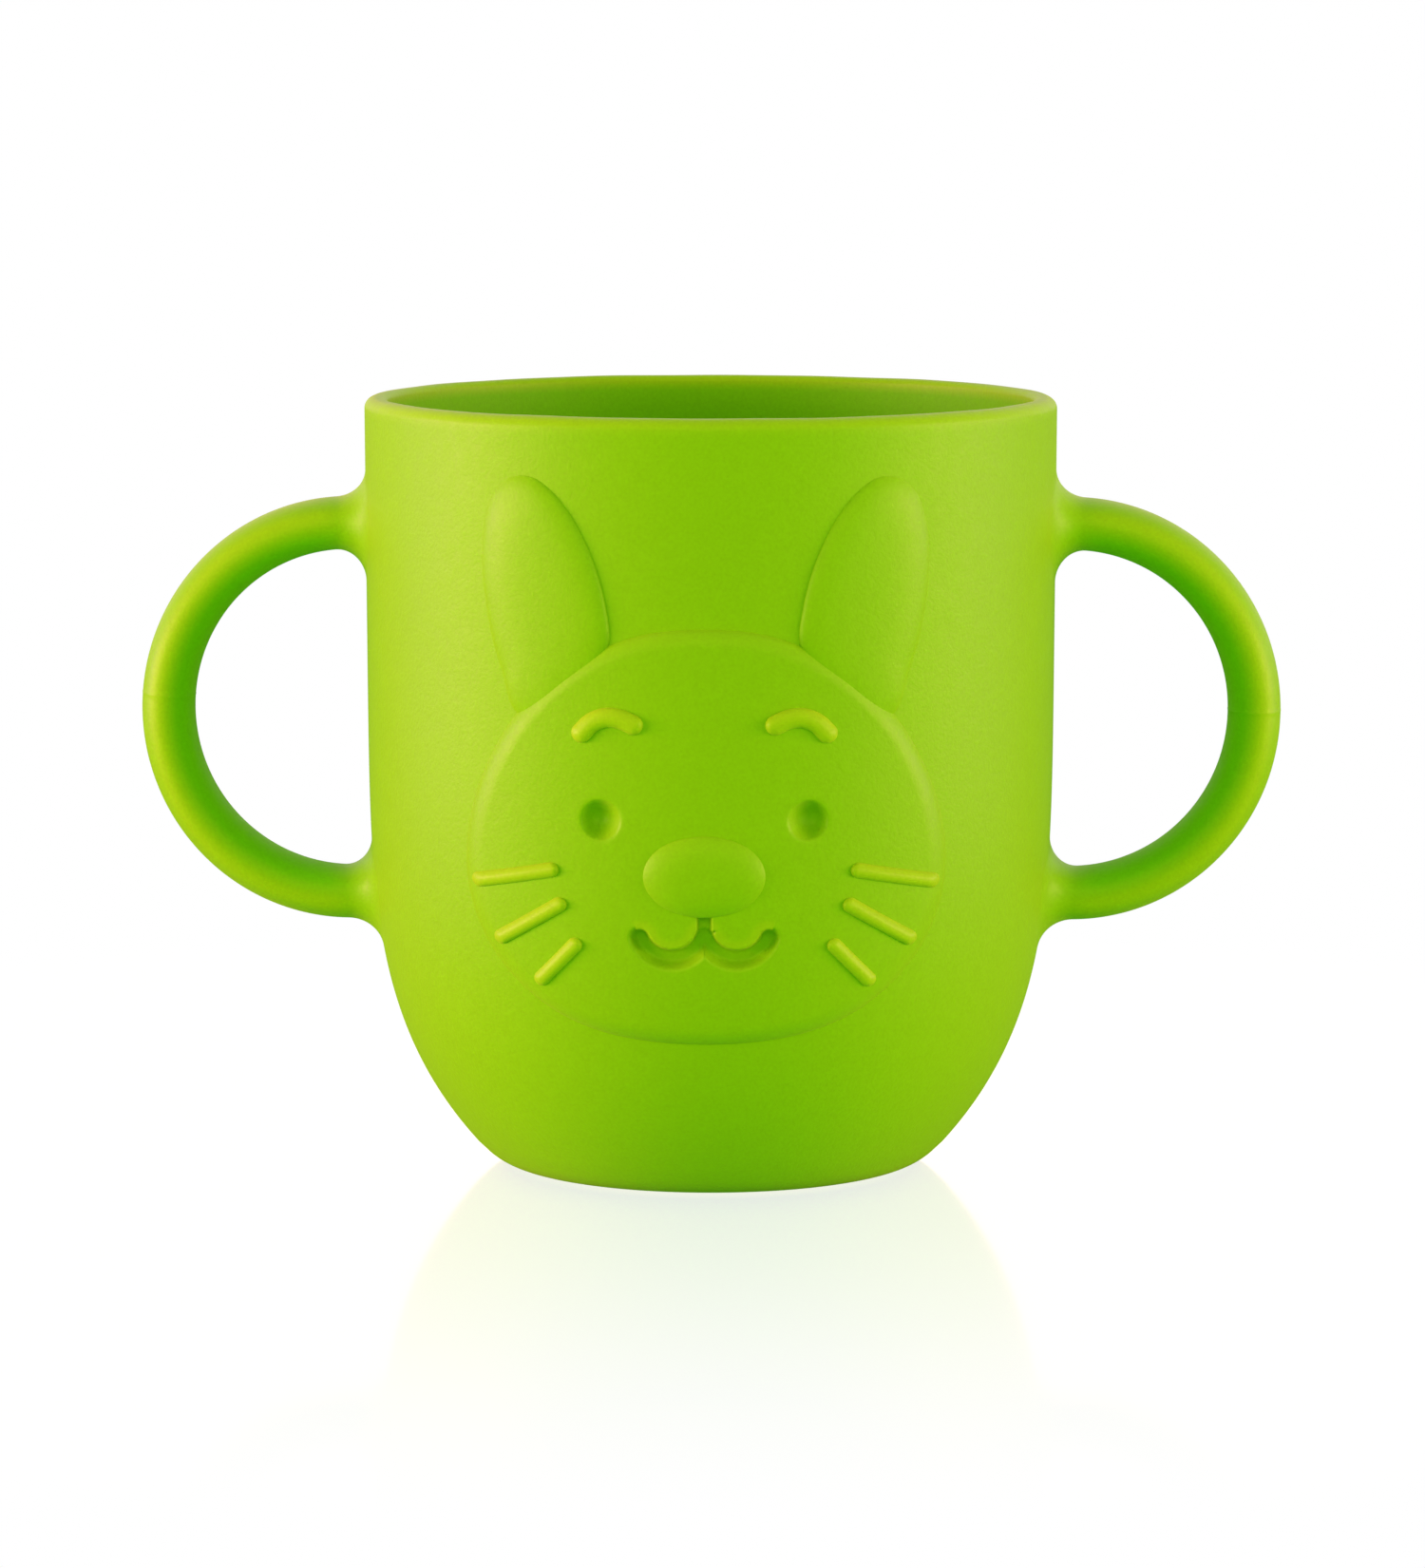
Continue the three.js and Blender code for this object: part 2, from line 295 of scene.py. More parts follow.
# ---- the ring handles ----
def grip_section(turn):
    """Outline of the grip: a slightly squared oval, in the ring's plane and across it."""
    c, w = math.cos(turn), math.sin(turn)
    reach = (abs(c) ** GRIP_SQUARE + abs(w) ** GRIP_SQUARE) ** (-1 / GRIP_SQUARE)
    return reach * c * GRIP_T / 2, reach * w * GRIP_W / 2


def grip_point(t, turn, grow):
    """A point of the grip at ring angle t, pushed out by grow along its section's normal."""
    u, w = grip_section(turn)
    du, dw = grip_section(turn + 0.01)
    bu, bw = grip_section(turn - 0.01)
    nu, nw = dw - bw, bu - du
    size = math.hypot(nu, nw)
    u += grow * nu / size
    w += grow * nw / size
    out = Vector((math.cos(t) / RING_A, math.sin(t) / RING_B)).normalized()
    return Vector((RING_X + RING_A * math.cos(t) + u * out.x, w,
                   RING_Z + RING_B * math.sin(t) + u * out.y))


def off_wall(point):
    """How far a point is outside the wall, measured level."""
    return math.hypot(point.x, point.y) - wall_radius(point.z)


def root_angle(turn, way, grow, height):
    """The ring angle at which a fibre of the grip is height above the wall."""
    low, high = 0.6, 2.4
    for _ in range(24):
        middle = (low + high) / 2
        if off_wall(grip_point(way * middle, turn, grow)) > height:
            low = middle
        else:
            high = middle
    return way * (low + high) / 2


def grip_root(turn, way):
    """A fibre's points from the grip down its root's blend, out on the wall and into it."""
    points = []
    for step in range(1, ROOT_STEPS + 1):
        bend = math.pi / 2 * step / ROOT_STEPS
        grow = ROOT_FILLET * (1 - math.cos(bend))
        height = ROOT_FILLET * (1 - math.sin(bend))
        points.append(grip_point(root_angle(turn, way, grow, height), turn, grow))
    wide = ROOT_FILLET + SKIRT_WIDE
    skirt = grip_point(root_angle(turn, way, wide, -SKIRT_SINK), turn, wide)
    r = math.hypot(skirt.x, skirt.y)
    scale = (r - SKIRT_EDGE) / r
    return points + [skirt, Vector((skirt.x * scale, skirt.y * scale, skirt.z))]


def grip_fibre(turn, seam):
    """A line of points along the grip from root to root, with a low ridge at the seam."""
    low, high = (root_angle(turn, way, 0.0, ROOT_FILLET) for way in (-1, 1))
    below = span(low, seam - 2 * SEAM_HALF, GRIP_ALONG // 2)
    above = span(seam + 2 * SEAM_HALF, high, GRIP_ALONG // 2)
    middle = [grip_point(t, turn, 0.0) for t in below]
    middle += [grip_point(t, turn, SEAM_RISE) for t in (seam - SEAM_HALF, seam + SEAM_HALF)]
    middle += [grip_point(t, turn, 0.0) for t in above]
    return grip_root(turn, -1)[::-1] + middle + grip_root(turn, 1)


def make_handle(side, material):
    seam = SEAM_TURN[side]
    fibres = [grip_fibre(2 * math.pi * k / GRIP_AROUND, seam) for k in range(GRIP_AROUND)]
    bm = bmesh.new()
    bmesh.ops.create_circle(bm, segments=GRIP_AROUND, radius=GRIP_T / 2,
                            matrix=Matrix.Translation((RING_X + RING_A, 0, RING_Z)))
    ring = list(bm.verts) + list(bm.edges)
    bmesh.ops.spin(bm, geom=ring, cent=(RING_X, 0, RING_Z), axis=(0, -1, 0),
                   angle=math.pi, steps=len(fibres[0]) - 1)
    bm.verts.ensure_lookup_table()
    for k, fibre in enumerate(fibres):
        for step, point in enumerate(fibre):
            vert = bm.verts[step * GRIP_AROUND + k]
            vert.co = (side * point.x, point.y, point.z)
    open_edges = [e for e in bm.edges if e.is_boundary]
    bmesh.ops.holes_fill(bm, edges=open_edges, sides=GRIP_AROUND)
    bmesh.ops.recalc_face_normals(bm, faces=bm.faces)
    word = side_word(side)

    def ring_reach(point):
        return math.hypot((abs(point.x) - RING_X) / RING_A, (point.z - RING_Z) / RING_B)

    # painted light: a paler band round the outer edge of the grip, where the side lamps light it
    def rim_light(point):
        reach = ring_reach(point)
        band = ease(0.97, 1.04, reach) * (1 - ease(1.05, 1.12, reach))
        return GRIP_LIGHT * band * clear(point)

    # painted shade: the side of the grip that faces the hole is drawn deeper, where the cup shades
    # it
    def hole_shade(point):
        return (1 - ease(0.9, 1.01, ring_reach(point))) * clear(point)

    def clear(point):
        """0 near the wall, so that no painted light or painted shade shows where the root runs out.
        """
        return ease(0.5, ROOT_FILLET + 3, off_wall(point))

    finish_piece(bm, f"grip_{word}", (f"handle_{word}",), material, rim_light, hole_shade)


# ---- the face ----
EYE = {"x": 10.95, "z": 42.9, "half": 2.1, "tall": 2.2, "deep": 2.0, "reach": 3}
NOSE = {"z": 37.0, "half": 6.55, "tall": 4.4, "high": 1.05}
NOSE_SINK = 0.2
MOUTH_HALF = 0.95
MOUTH_DEEP = 1.55
MOUTH_LOW = 25.5
SLIT_DEEP = 1.0
SLIT_TOP = 33.8
CHEEK_WIDE = 1.2
CUSP_Z = 30.6
SHOULDER = 2.0
SHOULDER_POWER = 0.62
SINK = 0.35
POCKET_DEEP = 1.3
POCKET_EDGE = (2.5, 6.0)
BAR_SINK = 0.2

HEAD_EDGE = [(0, 62.95), (5.15, 62.6), (9.5, 61.35), (12.9, 59.65), (16.5, 57.0), (19.9, 53.4),
             (22.5, 49.2), (24.3, 44.8), (25.25, 40.7), (25.45, 36.7), (24.95, 33.4),
             (23.75, 30.1), (21.8, 27.0), (19.15, 24.2), (15.5, 21.7), (11.0, 19.95),
             (5.5, 19.0), (0, 18.75)]
EAR_EDGE = [(20.1, 53.85), (21.45, 57.85), (22.6, 61.7), (23.4, 66.2), (23.65, 70.4),
            (23.15, 74.7), (22.1, 77.35), (20.45, 78.75), (18.5, 78.9), (16.4, 77.6),
            (14.3, 75.1), (12.7, 72.2), (11.4, 69.0), (10.5, 65.5), (10.1, 61.8), (11.2, 58.3),
            (14.0, 55.0), (17.6, 52.6)]
SMILE = {"x": 3.45, "z": 31.8, "r": 3.6,
         "inner": math.radians(-161), "outer": math.radians(-24)}
BROW = [(13.0, 52.1), (11.9, 53.2), (10.4, 53.8), (8.9, 53.7), (7.5, 53.1)]
WHISKERS = {"upper": ((16.3, 37.3), (24.2, 35.6)),
            "middle": ((15.45, 33.6), (21.75, 29.6)),
            "lower": ((13.8, 29.3), (17.4, 25.4))}


def curve_through(points, closed, count):
    """Points on a smooth curve through the given ones."""
    points = [Vector(p) for p in points]
    n = len(points)
    spans = n if closed else n - 1
    made = []
    for i in range(count + 1):
        place = spans * i / count
        k = min(int(place), spans - 1)
        t = place - k
        if closed:
            a, b, c, d = (points[(k + o) % n] for o in (-1, 0, 1, 2))
        else:
            b, c = points[k], points[k + 1]
            a = points[k - 1] if k > 0 else 2 * b - c
            d = points[k + 2] if k + 2 < n else 2 * c - b
        ta = 0.0
        tb = ta + max((b - a).length, 1e-6) ** 0.5
        tc = tb + max((c - b).length, 1e-6) ** 0.5
        td = tc + max((d - c).length, 1e-6) ** 0.5
        tt = tb + (tc - tb) * t
        ab = a.lerp(b, (tt - ta) / (tb - ta))
        bc = b.lerp(c, (tt - tb) / (tc - tb))
        cd = c.lerp(d, (tt - tc) / (td - tc))
        abc = ab.lerp(bc, (tt - ta) / (tc - ta))
        bcd = bc.lerp(cd, (tt - tb) / (td - tb))
        made.append(abc.lerp(bcd, t))
    return made


def near_line(line, x, z):
    """Distance from a point to a line and which side of it the point lies on."""
    best = (1e9, 1.0)
    for a, b in zip(line, line[1:]):
        dx, dz = b.x - a.x, b.y - a.y
        size = math.hypot(dx, dz)
        t = clamp(((x - a.x) * dx + (z - a.y) * dz) / (size * size))
        ox, oz = x - a.x - dx * t, z - a.y - dz * t
        off = math.hypot(ox, oz)
        if off < best[0]:
            best = (off, 1.0 if dx * oz - dz * ox > 0 else -1.0)
    return best


class Pad:
    """A closed outline as seen from its middle, and how far inside it a point is."""

    def __init__(self, outline, centre, grow):
        self.centre = Vector(centre)
        xs = [abs(p.x - self.centre.x) for p in outline]
        zs = [abs(p.y - self.centre.y) for p in outline]
        self.half, self.tall = max(xs), max(zs)
        looks = []
        for k, point in enumerate(outline):
            ahead = outline[(k + 1) % len(outline)]
            behind = outline[k - 1]
            run = ahead - behind
            out = Vector((run.y, -run.x)).normalized()
            arm = point - self.centre
            if out.dot(arm) < 0:
                out = -out
            arm = arm + out * grow
            turn = math.atan2(arm.y / self.tall, arm.x / self.half) % (2 * math.pi)
            looks.append((turn, arm, out.dot(arm)))
        looks.sort(key=lambda look: look[0])
        first, last = looks[0], looks[-1]
        looks.insert(0, (last[0] - 2 * math.pi, last[1], last[2]))
        looks.append((first[0] + 2 * math.pi, first[1], first[2]))
        self.looks = looks
        self.turns = [look[0] for look in looks]

    def arm(self, turn):
        """The way from the middle to the edge at a turn, and how far that is straight across."""
        turn %= 2 * math.pi
        k = bisect.bisect_right(self.turns, turn) - 1
        k = min(max(k, 0), len(self.looks) - 2)
        low, high = self.looks[k], self.looks[k + 1]
        t = (turn - low[0]) / max(high[0] - low[0], 1e-9)
        return low[1].lerp(high[1], t), low[2] + (high[2] - low[2]) * t

    def spot(self, p, q):
        """The place of a point of the unit disc."""
        arm, _ = self.arm(math.atan2(q, p))
        return self.centre + arm * math.hypot(p, q)

    def inside(self, p, q):
        """How far inside the edge a point of the unit disc lands."""
        _, reach = self.arm(math.atan2(q, p))
        return (1 - math.hypot(p, q)) * reach

    def inside_at(self, x, z):
        """How far inside the edge a point at x and z is; below 0 outside."""
        dx, dz = x - self.centre.x, z - self.centre.y
        arm, reach = self.arm(math.atan2(dz / self.tall, dx / self.half))
        return (1 - math.hypot(dx, dz) / arm.length) * reach


def shoulder(inward, width, power):
    """0 at an edge and 1 past its rounded shoulder."""
    t = clamp(inward / width)
    return (1 - (1 - t) ** 2) ** power


HEAD = Pad(curve_through(HEAD_EDGE + [(-x, z) for x, z in HEAD_EDGE[-2:0:-1]], True, 600)[:-1],
           (0, 40.5), 0.35)
LOBE = [Vector((SMILE["x"] + SMILE["r"] * math.cos(t), SMILE["z"] + SMILE["r"] * math.sin(t)))
        for t in span(SMILE["inner"], SMILE["outer"], 36)]
CHEEKS = [Vector((-p.x, p.y)) for p in reversed(LOBE)] + [Vector((0, CUSP_Z))] + LOBE


def eye_dip(x, z):
    """Depth of the round eye dimples."""
    if abs(abs(x) - EYE["x"]) > EYE["reach"] or abs(z - EYE["z"]) > EYE["reach"]:
        return 0.0
    r = math.hypot((abs(x) - EYE["x"]) / EYE["half"], (z - EYE["z"]) / EYE["tall"])
    bowl = max(1 - r * r, 0.0) ** 1.1
    return EYE["deep"] * (0.7 * bowl + 0.3 * (1 - ease(0.2, 1.3, r)))


def mouth_dip(x, z):
    """Depth of the groove under the cheeks and of the slit between them."""
    if abs(x) > 9.5 or z < MOUTH_LOW or z > 34.5:
        return 0.0
    off, side = near_line(CHEEKS, x, z)
    past = side * off
    crisp = 1 - ease(MOUTH_HALF - 0.42, MOUTH_HALF + 0.16, past)
    soft = 1 - ease(0.3, 1.5, -past)
    dip = MOUTH_DEEP * crisp * soft
    if SLIT_TOP > z > CUSP_Z - 0.3:
        dip = max(dip, SLIT_DEEP * (1 - ease(0.45, 0.95, abs(x))))
    return dip


def cheek_light(point):
    """Painted light on the raised edge of the cheeks above the mouth: a paler colour where the edge
    catches light from above and light shows through.
    """
    x, y, z = point
    if abs(x) > 8.0 or z < MOUTH_LOW or z > 34.0 or y > -WALL_R / 2:
        return 0.0
    off, side = near_line(CHEEKS, x, z)
    past = side * off - MOUTH_HALF - 0.25
    return CHEEK_LIGHT * (1 - ease(0.1, CHEEK_WIDE, abs(past)))


def head_lift(x, z):
    """How far the head's surface is off the wall."""
    inward = HEAD.inside_at(x, z)
    lift = (HEAD_RISE + SINK) * shoulder(inward, SHOULDER, SHOULDER_POWER) - SINK
    return lift - max(eye_dip(x, z), mouth_dip(x, z))


def pocket(x, z):
    """How far the wall sinks behind the head, so that no dimple of the face reaches it."""
    near_head = abs(x) < 26 and 18 < z < 64
    return POCKET_DEEP * ease(*POCKET_EDGE, HEAD.inside_at(x, z)) if near_head else 0.0


def make_head(material):
    def place(p, q):
        x, z = HEAD.spot(p, q)
        return on_wall(x, z, head_lift(x, z))

    def under(p, q):
        x, z = HEAD.spot(p, q)
        return on_wall(x, z, -SKIN_BACK - 0.9 * ease(*POCKET_EDGE, HEAD.inside(p, q)))

    bm = skin(306, 282, place, under, 0.4)
    finish_piece(bm, "head", ("head_relief",), material, cheek_light)


def make_ear(side, material):
    leaf = Pad(curve_through([(side * x, z) for x, z in EAR_EDGE], True, 300)[:-1],
               (side * 17, 66), 0.2)

    def place(p, q):
        x, z = leaf.spot(p, q)
        crown = (1 - min(math.hypot(p, q), 1.0) ** 5) ** 0.5
        return on_wall(x, z, (EAR_RISE + SINK) * crown - SINK)

    def under(p, q):
        x, z = leaf.spot(p, q)
        return on_wall(x, z, -SKIN_BACK)

    word = side_word(side)
    bm = skin(100, 170, place, under, 0.0)
    finish_piece(bm, f"raised_ear_{word}", (f"ear_{word}",), material)


def make_nose(material):
    def place(p, q):
        x, z = p * NOSE["half"], NOSE["z"] + q * NOSE["tall"]
        size = min(math.hypot(p, q), 1.0)
        high = NOSE["high"] * (1 - size ** 3.4) ** 0.85
        return on_wall(x, z, HEAD_RISE + (high if size < 1 else -NOSE_SINK))

    def under(p, q):
        return on_wall(p * NOSE["half"], NOSE["z"] + q * NOSE["tall"], 0.3)

    bm = skin(100, 80, place, under, 0.0)
    finish_piece(bm, "nose_button", ("nose",), material)


def make_bar(name, node, line, half, height, material):
    """A round-ended bar with a rounded top that follows a line over the head."""
    run = [0.0]
    for a, b in zip(line, line[1:]):
        run.append(run[-1] + (b - a).length)
    length = run[-1]

    def at(s):
        """The point of the line at a length along it, and the line's way there."""
        s = clamp(s, 0.0, length)
        k = min(max(bisect.bisect_right(run, s) - 1, 0), len(line) - 2)
        t = (s - run[k]) / (run[k + 1] - run[k])
        return line[k].lerp(line[k + 1], t), (line[k + 1] - line[k]).normalized()

    reach = length / 2 + half

    def spot(p, q):
        """The place of a point of the unit disc, and how far inside the bar's edge it is."""
        s = p * reach
        over = max(abs(s) - length / 2, 0.0)
        limit = math.sqrt(max(1 - (over / half) ** 2, 0.0))
        across = q / max(math.sqrt(max(1 - p * p, 0.0)), 1e-6) * half if abs(p) < 1 else 0.0
        across = clamp(across, -half, half) * limit
        point, along = at(length / 2 + clamp(s, -length / 2, length / 2))
        tip = math.copysign(over, s)
        x = point.x + along.x * tip - along.y * across
        z = point.y + along.y * tip + along.x * across
        inward = 1 - math.hypot(over, across) / half
        return x, z, inward * half

    def place(p, q):
        x, z, inward = spot(p, q)
        rise = (height + BAR_SINK) * shoulder(inward, half * 0.95, 0.5) - BAR_SINK
        return on_wall(x, z, head_lift(x, z) + rise)

    def under(p, q):
        x, z, _ = spot(p, q)
        return on_wall(x, z, head_lift(x, z) - 0.6)

    bm = skin(90, 26, place, under, 0.0)
    # painted light: the whole bar is drawn paler, for light showing through the raised mark
    finish_piece(bm, name, (node,), material, lambda point: BAR_LIGHT)


def make_whisker(side, place, inner, outer, material):
    word = side_word(side)
    a = Vector((side * inner[0], inner[1]))
    b = Vector((side * outer[0], outer[1]))
    line = [a.lerp(b, t) for t in span(0, 1, 8)]
    make_bar(f"whisker_bar_{word}_{place}", f"whisker_{word}_{place}", line, 0.85, 0.65,
             material)


def make_eyebrow(side, material):
    word = side_word(side)
    line = curve_through([(side * x, z) for x, z in BROW], False, 24)
    make_bar(f"brow_bar_{word}", f"eyebrow_{word}", line, 1.1, 0.85, material)


# ---- the silicone ----
def new_node(tree, kind, **values):
    node = tree.nodes.new(kind)
    for key, value in values.items():
        node.inputs[key].default_value = value
    return node


def skin_group():
    """Moulded silicone: a fine grain, a slow drift of colour, and the masks' painted light (a paler
    colour) and painted shade (a deeper colour).
    """
    group = bpy.data.node_groups.new("moulded_silicone", "ShaderNodeTree")
    sockets = group.interface.new_socket
    for name, kind, value in (
        ("Deep", "NodeSocketColor", (0.30, 0.60, 0.001, 1)),
        ("Pale", "NodeSocketColor", (0.44, 0.66, 0.004, 1)),
        ("Shaded", "NodeSocketColor", (0.18, 0.6, 0.0005, 1)),
        ("Painted Light", "NodeSocketFloat", 0.0),
        ("Painted Shade", "NodeSocketFloat", 0.0),
        ("Grain Scale", "NodeSocketFloat", 2600.0),
        ("Drift", "NodeSocketFloat", 0.06),
        ("Roughness", "NodeSocketFloat", 0.45),
    ):
        socket = sockets(name=name, in_out="INPUT", socket_type=kind)
        socket.default_value = value
    for name, kind in (("Color", "NodeSocketColor"), ("Roughness", "NodeSocketFloat"),
                       ("Height", "NodeSocketFloat")):
        sockets(name=name, in_out="OUTPUT", socket_type=kind)
    link = group.links.new
    given = group.nodes.new("NodeGroupInput")
    out = group.nodes.new("NodeGroupOutput")
    place = group.nodes.new("ShaderNodeTexCoord")

    def noise(**values):
        made = new_node(group, "ShaderNodeTexNoise", **values)
        link(place.outputs["Object"], made.inputs["Vector"])
        return made

    cloud = noise(Scale=38.0, Detail=2.0)
    mottle = noise(Scale=700.0, Detail=3.0)
    grain = noise(Detail=2.0, Roughness=0.6)
    link(given.outputs["Grain Scale"], grain.inputs["Scale"])

    def math_node(kind, first, second):
        made = group.nodes.new("ShaderNodeMath")
        made.operation = kind
        for socket, value in zip(made.inputs, (first, second)):
            if isinstance(value, (int, float)):
                socket.default_value = value
            else:
                link(value, socket)
        return made.outputs["Value"]

    drift = math_node("ADD", math_node("MULTIPLY", cloud.outputs["Fac"], 1.2),
                      math_node("MULTIPLY", mottle.outputs["Fac"], 0.8))
    drift = math_node("ADD", drift, math_node("MULTIPLY", grain.outputs["Fac"], 3.6))
    drift = math_node("SUBTRACT", drift, 2.8)
    drift = math_node("ADD", math_node("MULTIPLY", drift, given.outputs["Drift"]), 1.0)
    # painted light mixes towards Pale and painted shade towards Shaded, then the slow drift of the
    # silicone's own colour scales the result
    painted_light_mix = group.nodes.new("ShaderNodeMix")
    painted_light_mix.data_type = "RGBA"
    link(given.outputs["Painted Light"], painted_light_mix.inputs["Factor"])
    link(given.outputs["Deep"], painted_light_mix.inputs["A"])
    link(given.outputs["Pale"], painted_light_mix.inputs["B"])
    painted_shade_mix = group.nodes.new("ShaderNodeMix")
    painted_shade_mix.data_type = "RGBA"
    link(given.outputs["Painted Shade"], painted_shade_mix.inputs["Factor"])
    link(painted_light_mix.outputs["Result"], painted_shade_mix.inputs["A"])
    link(given.outputs["Shaded"], painted_shade_mix.inputs["B"])
    shade = group.nodes.new("ShaderNodeVectorMath")
    shade.operation = "SCALE"
    link(painted_shade_mix.outputs["Result"], shade.inputs[0])
    link(drift, shade.inputs["Scale"])
    link(shade.outputs["Vector"], out.inputs["Color"])
    uneven = math_node("SUBTRACT", mottle.outputs["Fac"], 0.5)
    uneven = math_node("MULTIPLY", uneven, 0.16)
    rough = math_node("ADD", given.outputs["Roughness"], uneven)
    rough = math_node("ADD", rough, math_node("MULTIPLY", given.outputs["Painted Shade"], 0.2))
    link(rough, out.inputs["Roughness"])
    height = math_node("ADD", grain.outputs["Fac"],
                       math_node("MULTIPLY", mottle.outputs["Fac"], 0.8))
    link(height, out.inputs["Height"])
    return group


def silicone_material():
    material = bpy.data.materials.new("lime_silicone")
    material.use_nodes = True
    tree = material.node_tree
    tree.nodes.clear()
    out = tree.nodes.new("ShaderNodeOutputMaterial")
    shader = tree.nodes.new("ShaderNodeBsdfPrincipled")
    skin_node = tree.nodes.new("ShaderNodeGroup")
    skin_node.node_tree = skin_group()
    # the painted_light attribute carries painted light and the inner attribute carries painted shade
    painted_light = tree.nodes.new("ShaderNodeAttribute")
    painted_light.attribute_name = "painted_light"
    inner = tree.nodes.new("ShaderNodeAttribute")
    inner.attribute_name = "inner"
    bump = new_node(tree, "ShaderNodeBump", Strength=0.5, Distance=0.00006)
    shader.inputs["Specular IOR Level"].default_value = 0.3
    shader.inputs["Specular Tint"].default_value = (1, 0.85, 0.3, 1)
    shader.inputs["Sheen Weight"].default_value = 0.2
    shader.inputs["Sheen Roughness"].default_value = 0.6
    shader.inputs["Sheen Tint"].default_value = (1, 0.5, 0.1, 1)
    link = tree.links.new
    link(painted_light.outputs["Fac"], skin_node.inputs["Painted Light"])
    link(inner.outputs["Fac"], skin_node.inputs["Painted Shade"])
    link(skin_node.outputs["Color"], shader.inputs["Base Color"])
    link(skin_node.outputs["Roughness"], shader.inputs["Roughness"])
    link(skin_node.outputs["Height"], bump.inputs["Height"])
    link(bump.outputs["Normal"], shader.inputs["Normal"])
    link(shader.outputs["BSDF"], out.inputs["Surface"])
    return material


# ---- room, lights and camera ----
def floor_material():
    """A white table: bright and even to the eye, with a faint mirror image close to the cup.

    It is clear from below and to rays shorter than CONTACT, so that it never hides the foot.
    """
    material = bpy.data.materials.new("white_floor")
    material.use_nodes = True
    tree = material.node_tree
    tree.nodes.clear()
    link = tree.links.new
    out = tree.nodes.new("ShaderNodeOutputMaterial")
    rays = tree.nodes.new("ShaderNodeLightPath")
    pick = tree.nodes.new("ShaderNodeMixShader")
    sheen = tree.nodes.new("ShaderNodeMixShader")
    paint = new_node(tree, "ShaderNodeBsdfDiffuse", Color=(0.28, 0.84, 0.2, 1))
    glow = new_node(tree, "ShaderNodeEmission", Color=(1, 1, 1, 1), Strength=1.0)
    mirror = new_node(tree, "ShaderNodeBsdfGlossy", Color=(2.4, 1.6, 1, 1), Roughness=0.08)
    place = tree.nodes.new("ShaderNodeTexCoord")
    reach = tree.nodes.new("ShaderNodeVectorMath")
    reach.operation = "LENGTH"
    fade = tree.nodes.new("ShaderNodeMapRange")
    fade.interpolation_type = "SMOOTHSTEP"
    fade.inputs["From Min"].default_value = 0.01
    fade.inputs["From Max"].default_value = 0.18
    fade.inputs["To Min"].default_value = 0.24
    fade.inputs["To Max"].default_value = 0.0
    link(place.outputs["Object"], reach.inputs[0])
    link(reach.outputs["Value"], fade.inputs["Value"])
    link(fade.outputs["Result"], sheen.inputs["Fac"])
    link(glow.outputs["Emission"], sheen.inputs[1])
    link(mirror.outputs["BSDF"], sheen.inputs[2])
    link(rays.outputs["Is Camera Ray"], pick.inputs["Fac"])
    link(paint.outputs["BSDF"], pick.inputs[1])
    link(sheen.outputs["Shader"], pick.inputs[2])
    geometry = tree.nodes.new("ShaderNodeNewGeometry")
    clear = tree.nodes.new("ShaderNodeBsdfTransparent")
    faces = tree.nodes.new("ShaderNodeMixShader")
    close = tree.nodes.new("ShaderNodeMath")
    close.operation = "LESS_THAN"
    close.inputs[1].default_value = CONTACT
    open_side = tree.nodes.new("ShaderNodeMath")
    open_side.operation = "MAXIMUM"
    link(rays.outputs["Ray Length"], close.inputs[0])
    link(close.outputs["Value"], open_side.inputs[0])
    link(geometry.outputs["Backfacing"], open_side.inputs[1])
    link(open_side.outputs["Value"], faces.inputs["Fac"])
    link(pick.outputs["Shader"], faces.inputs[1])
    link(clear.outputs["BSDF"], faces.inputs[2])
    link(faces.outputs["Shader"], out.inputs["Surface"])
    return material


def make_floor():
    bm = bmesh.new()
    bmesh.ops.create_grid(bm, x_segments=1, y_segments=1, size=FLOOR_SIZE)
    mesh = bpy.data.meshes.new("floor")
    bm.to_mesh(mesh)
    bm.free()
    mesh.materials.append(floor_material())
    floor = bpy.data.objects.new("floor", mesh)
    floor.location.z = -FLOOR_GAP
    bpy.context.collection.objects.link(floor)


def soft_light(name, place, target, width, height, power, color):
    light = bpy.data.lights.new(name, "AREA")
    light.shape = "RECTANGLE"
    light.size, light.size_y = width, height
    light.energy = power
    light.color = color
    lamp = bpy.data.objects.new(name, light)
    lamp.location = place
    lamp.rotation_euler = (Vector(target) - Vector(place)).to_track_quat("-Z", "Y").to_euler()
    lamp.visible_camera = False
    bpy.context.collection.objects.link(lamp)


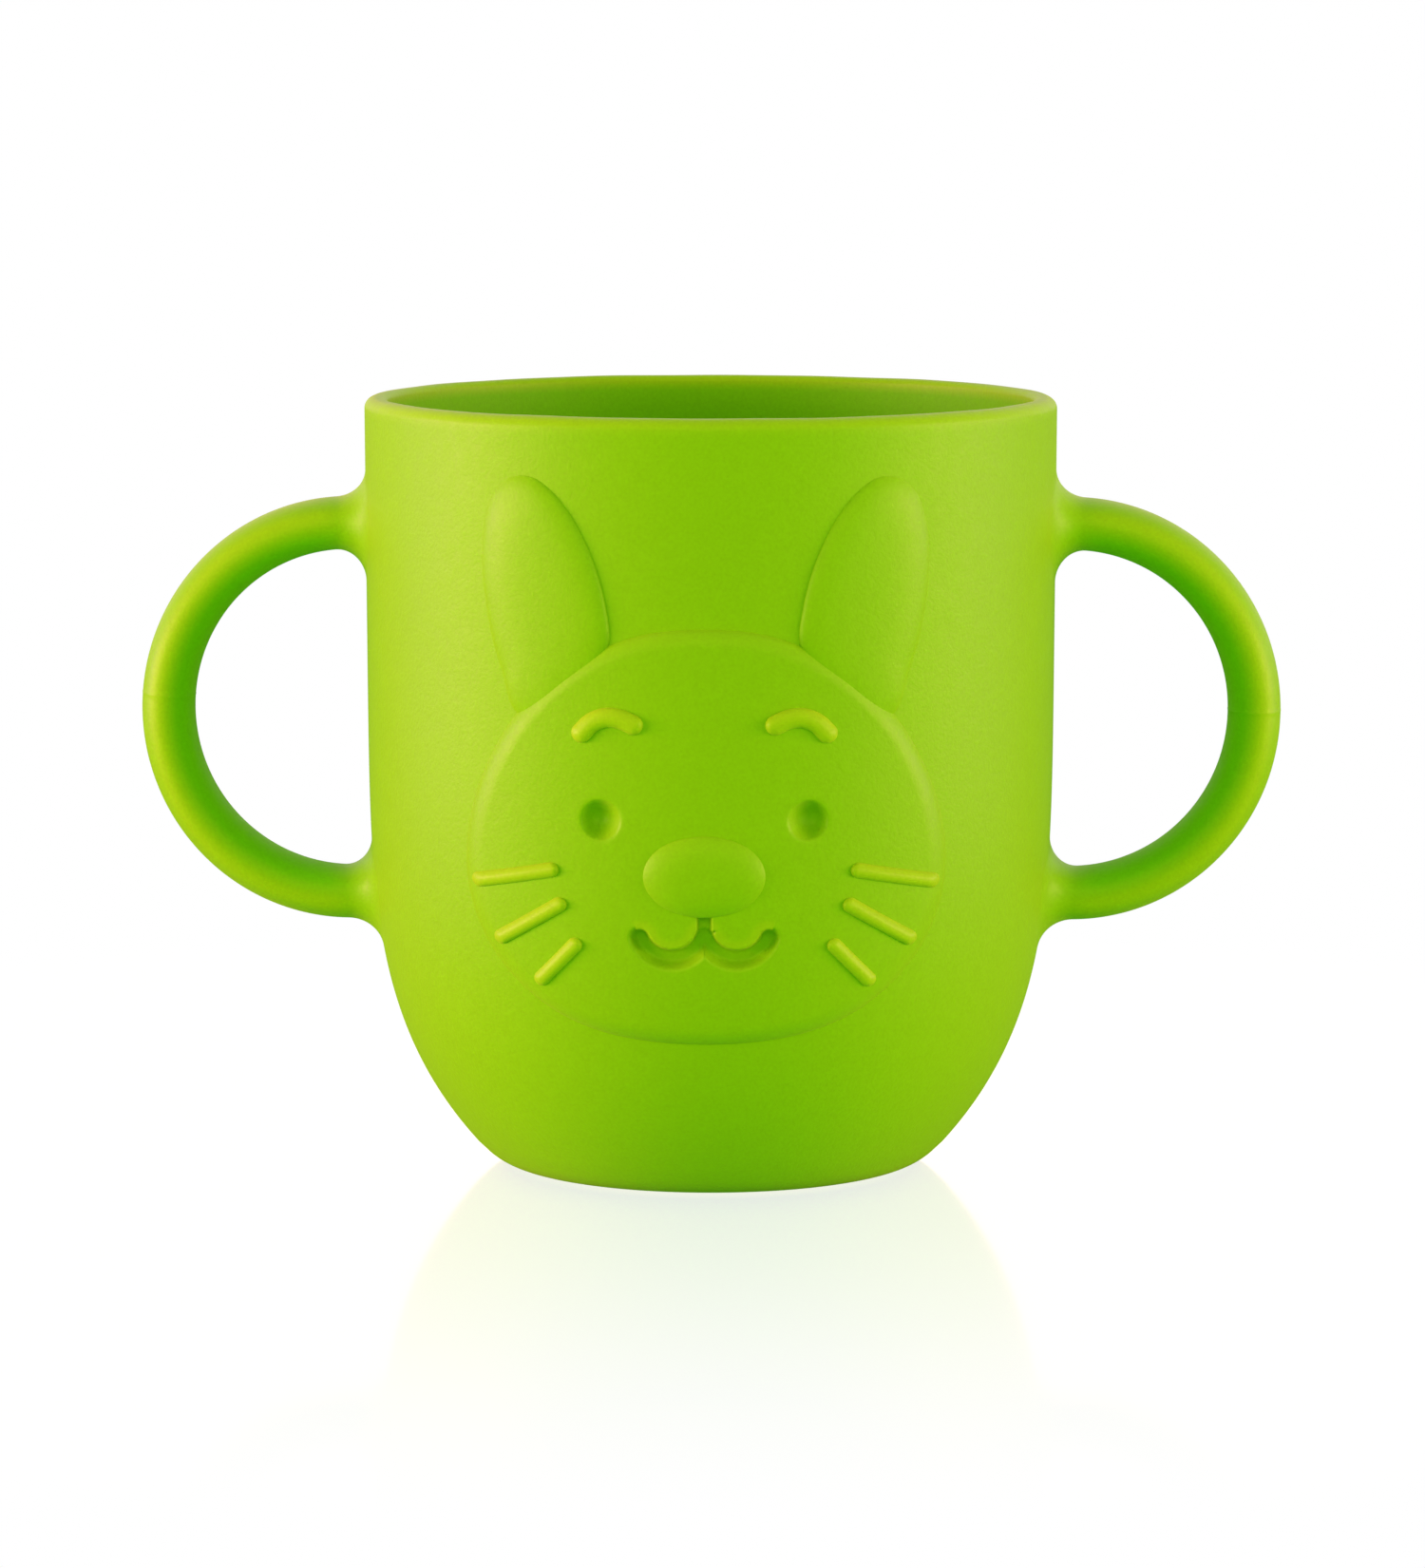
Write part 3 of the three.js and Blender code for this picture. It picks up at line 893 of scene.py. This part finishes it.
def make_world(color):
    """A room that is white to the eye and in mirrors, and lights the cup with a colour."""
    world = bpy.data.worlds.new("studio")
    bpy.context.scene.world = world
    world.use_nodes = True
    tree = world.node_tree
    tree.nodes.clear()
    out = tree.nodes.new("ShaderNodeOutputWorld")
    room = new_node(tree, "ShaderNodeBackground", Color=(*color, 1), Strength=1.0)
    wall = new_node(tree, "ShaderNodeBackground", Color=(1, 1, 1, 1), Strength=1.0)
    mix = tree.nodes.new("ShaderNodeMixShader")
    rays = tree.nodes.new("ShaderNodeLightPath")
    seen = tree.nodes.new("ShaderNodeMath")
    seen.operation = "MAXIMUM"
    tree.links.new(rays.outputs["Is Camera Ray"], seen.inputs[0])
    tree.links.new(rays.outputs["Is Glossy Ray"], seen.inputs[1])
    tree.links.new(seen.outputs["Value"], mix.inputs["Fac"])
    tree.links.new(room.outputs["Background"], mix.inputs[1])
    tree.links.new(wall.outputs["Background"], mix.inputs[2])
    tree.links.new(mix.outputs["Shader"], out.inputs["Surface"])


def make_camera():
    distance, height, lens = 0.750, 0.1349, 156.3490909
    aside, down = math.radians(1.05), math.radians(7.05)
    camera = bpy.data.cameras.new("camera")
    camera.sensor_width = 36.0
    camera.lens = lens
    camera.shift_x = 0.0011
    camera.clip_start, camera.clip_end = 0.05, 60.0
    eye = bpy.data.objects.new("camera", camera)
    eye.location = (distance * math.sin(aside), -distance * math.cos(aside), height)
    eye.rotation_euler = (math.pi / 2 - down, 0, aside)
    bpy.context.collection.objects.link(eye)
    bpy.context.scene.camera = eye


# name, place, target, width, height, power and colour of each lamp
LAMPS = (
    ("side_left", (-0.97, -0.25, 0.12), (0, 0, 0.06), 0.7, 0.24, 9.14, (1, 0.63, 0.57)),
    ("side_right", (0.97, -0.25, 0.12), (0, 0, 0.06), 0.7, 0.24, 5.88, (1, 0.71, 0.49)),
    ("rim_left", (-0.97, 0.12, 0.12), (0, 0, 0.06), 0.6, 0.24, 2.7, (1, 0.15, 1)),
    ("rim_right", (0.97, 0.12, 0.12), (0, 0, 0.06), 0.6, 0.24, 2.1, (1, 0.28, 0.84)),
    ("front", (0, -1.3, 0.6), (0, 0, 0.05), 0.8, 0.6, 2.8, (1, 0.84, 0.2)),
)

make_camera()
make_world((0.3, 0.465, 0.2))
make_floor()
for lamp in LAMPS:
    soft_light(*lamp)
bpy.context.scene.view_settings.view_transform = "Standard"

silicone = silicone_material()
make_cup(silicone)
make_head(silicone)
make_nose(silicone)
for side in (-1, 1):
    make_handle(side, silicone)
    make_ear(side, silicone)
    make_eyebrow(side, silicone)
    for place, (inner, outer) in WHISKERS.items():
        make_whisker(side, place, inner, outer, silicone)
